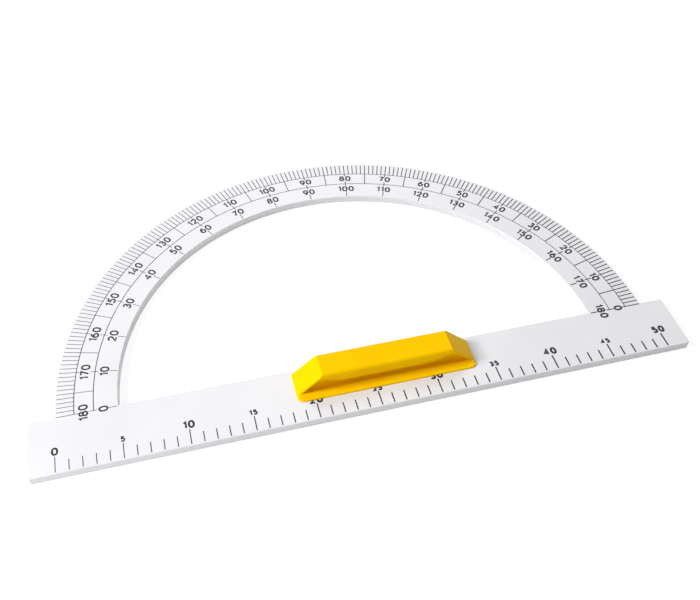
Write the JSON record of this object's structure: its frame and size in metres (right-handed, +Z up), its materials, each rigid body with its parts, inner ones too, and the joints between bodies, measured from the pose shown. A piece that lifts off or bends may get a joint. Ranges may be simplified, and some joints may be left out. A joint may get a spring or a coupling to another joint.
{
  "type": "board protractor",
  "caption": "Half-ring board protractor on a straight bar, with degree and centimetre scales and a moulded grip handle.",
  "frame": {"origin": "middle of the outline, seen from above, on the plane that the plate rests on; the vertex of the degree scale is 99.25 mm from it towards the bar", "axes": "+X along the bar, from 0 cm to 50 cm; +Y from the bar towards the top of the half ring; +Z up, out of the printed face"},
  "size_m": [0.54, 0.3005, 0.0275],
  "materials": {
    "plate": "white moulded plastic, fine satin",
    "grip": "yellow moulded plastic, satin",
    "screws": "bright zinc plate",
    "print": "dark screen-printed ink"
  },
  "bodies": {
    "root": {"scale_plate": "plate", "grip_handle": "grip", "handle_screws": "screws"}
  },
  "joints": []
}
